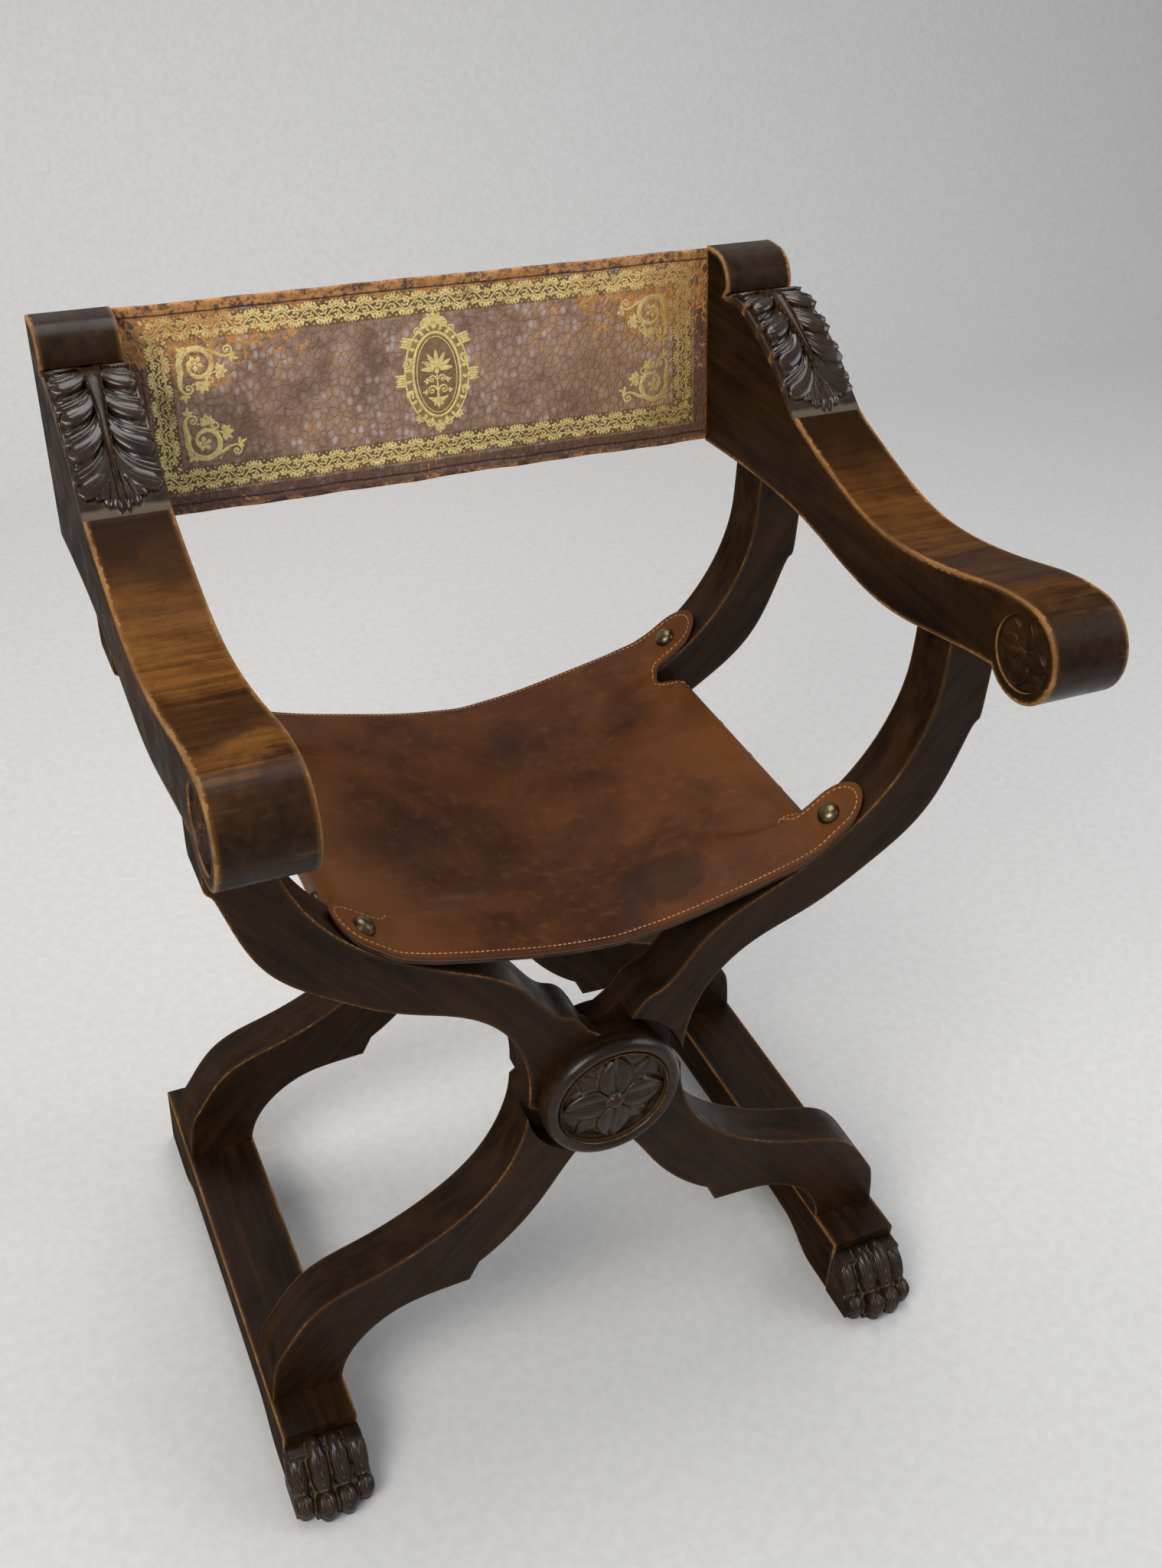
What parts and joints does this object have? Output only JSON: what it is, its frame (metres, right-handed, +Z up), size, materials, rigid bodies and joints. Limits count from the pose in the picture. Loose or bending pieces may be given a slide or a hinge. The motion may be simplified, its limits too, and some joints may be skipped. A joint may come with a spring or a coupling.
{
  "type": "folding armchair",
  "caption": "Folding crossed-frame armchair with carved arms, paw feet, hub roundels, sling leather seat and leather back.",
  "frame": {"origin": "on the floor under the centre of the chair's bounding box", "axes": "+Z up, +Y towards the back, +X towards the sitter's left (the viewer's right from the front)"},
  "size_m": [0.666, 0.5653, 0.9],
  "materials": {
    "walnut": "dark waxed walnut, worn at the edges",
    "carved_walnut": "dark waxed walnut with dusty hollows",
    "dowel_wood": "unfinished hardwood",
    "seat_hide": "mottled, creased hide",
    "lining_hide": "dark plain hide",
    "back_hide": "crackled hide with tooled gilding",
    "nail_brass": "dulled brass",
    "pin_iron": "blackened forged iron"
  },
  "bodies": {
    "left_arm_frame": {"left_arm": "carved_walnut", "front_member_a": "walnut", "rear_member_a": "walnut", "front_roundel": "carved_walnut", "rear_roundel": "carved_walnut", "front_pivot_pin": "pin_iron", "rear_pivot_pin": "pin_iron", "right_runner": "walnut", "right_paw": "carved_walnut", "right_paw_dowels": "dowel_wood", "left_seat_rail": "walnut", "left_seat_nails": "nail_brass", "left_back_nails": "nail_brass", "seat_leather": "seat_hide", "seat_lining": "lining_hide", "back_leather": "back_hide"},
    "right_arm_frame": {"right_arm": "carved_walnut", "front_member_b": "walnut", "rear_member_b": "walnut", "left_runner": "walnut", "left_paw": "carved_walnut", "left_paw_dowels": "dowel_wood", "right_seat_rail": "walnut", "right_seat_nails": "nail_brass", "right_back_nails": "nail_brass"}
  },
  "joints": [
    {"name": "fold", "type": "hinge", "parent": "left_arm_frame", "child": "right_arm_frame", "pos_m": [0, 0.0195, 0.341], "axis": [0, -1, 0], "range_deg": [0, 30], "deforming": ["seat_leather", "seat_lining", "back_leather"]}
  ]
}
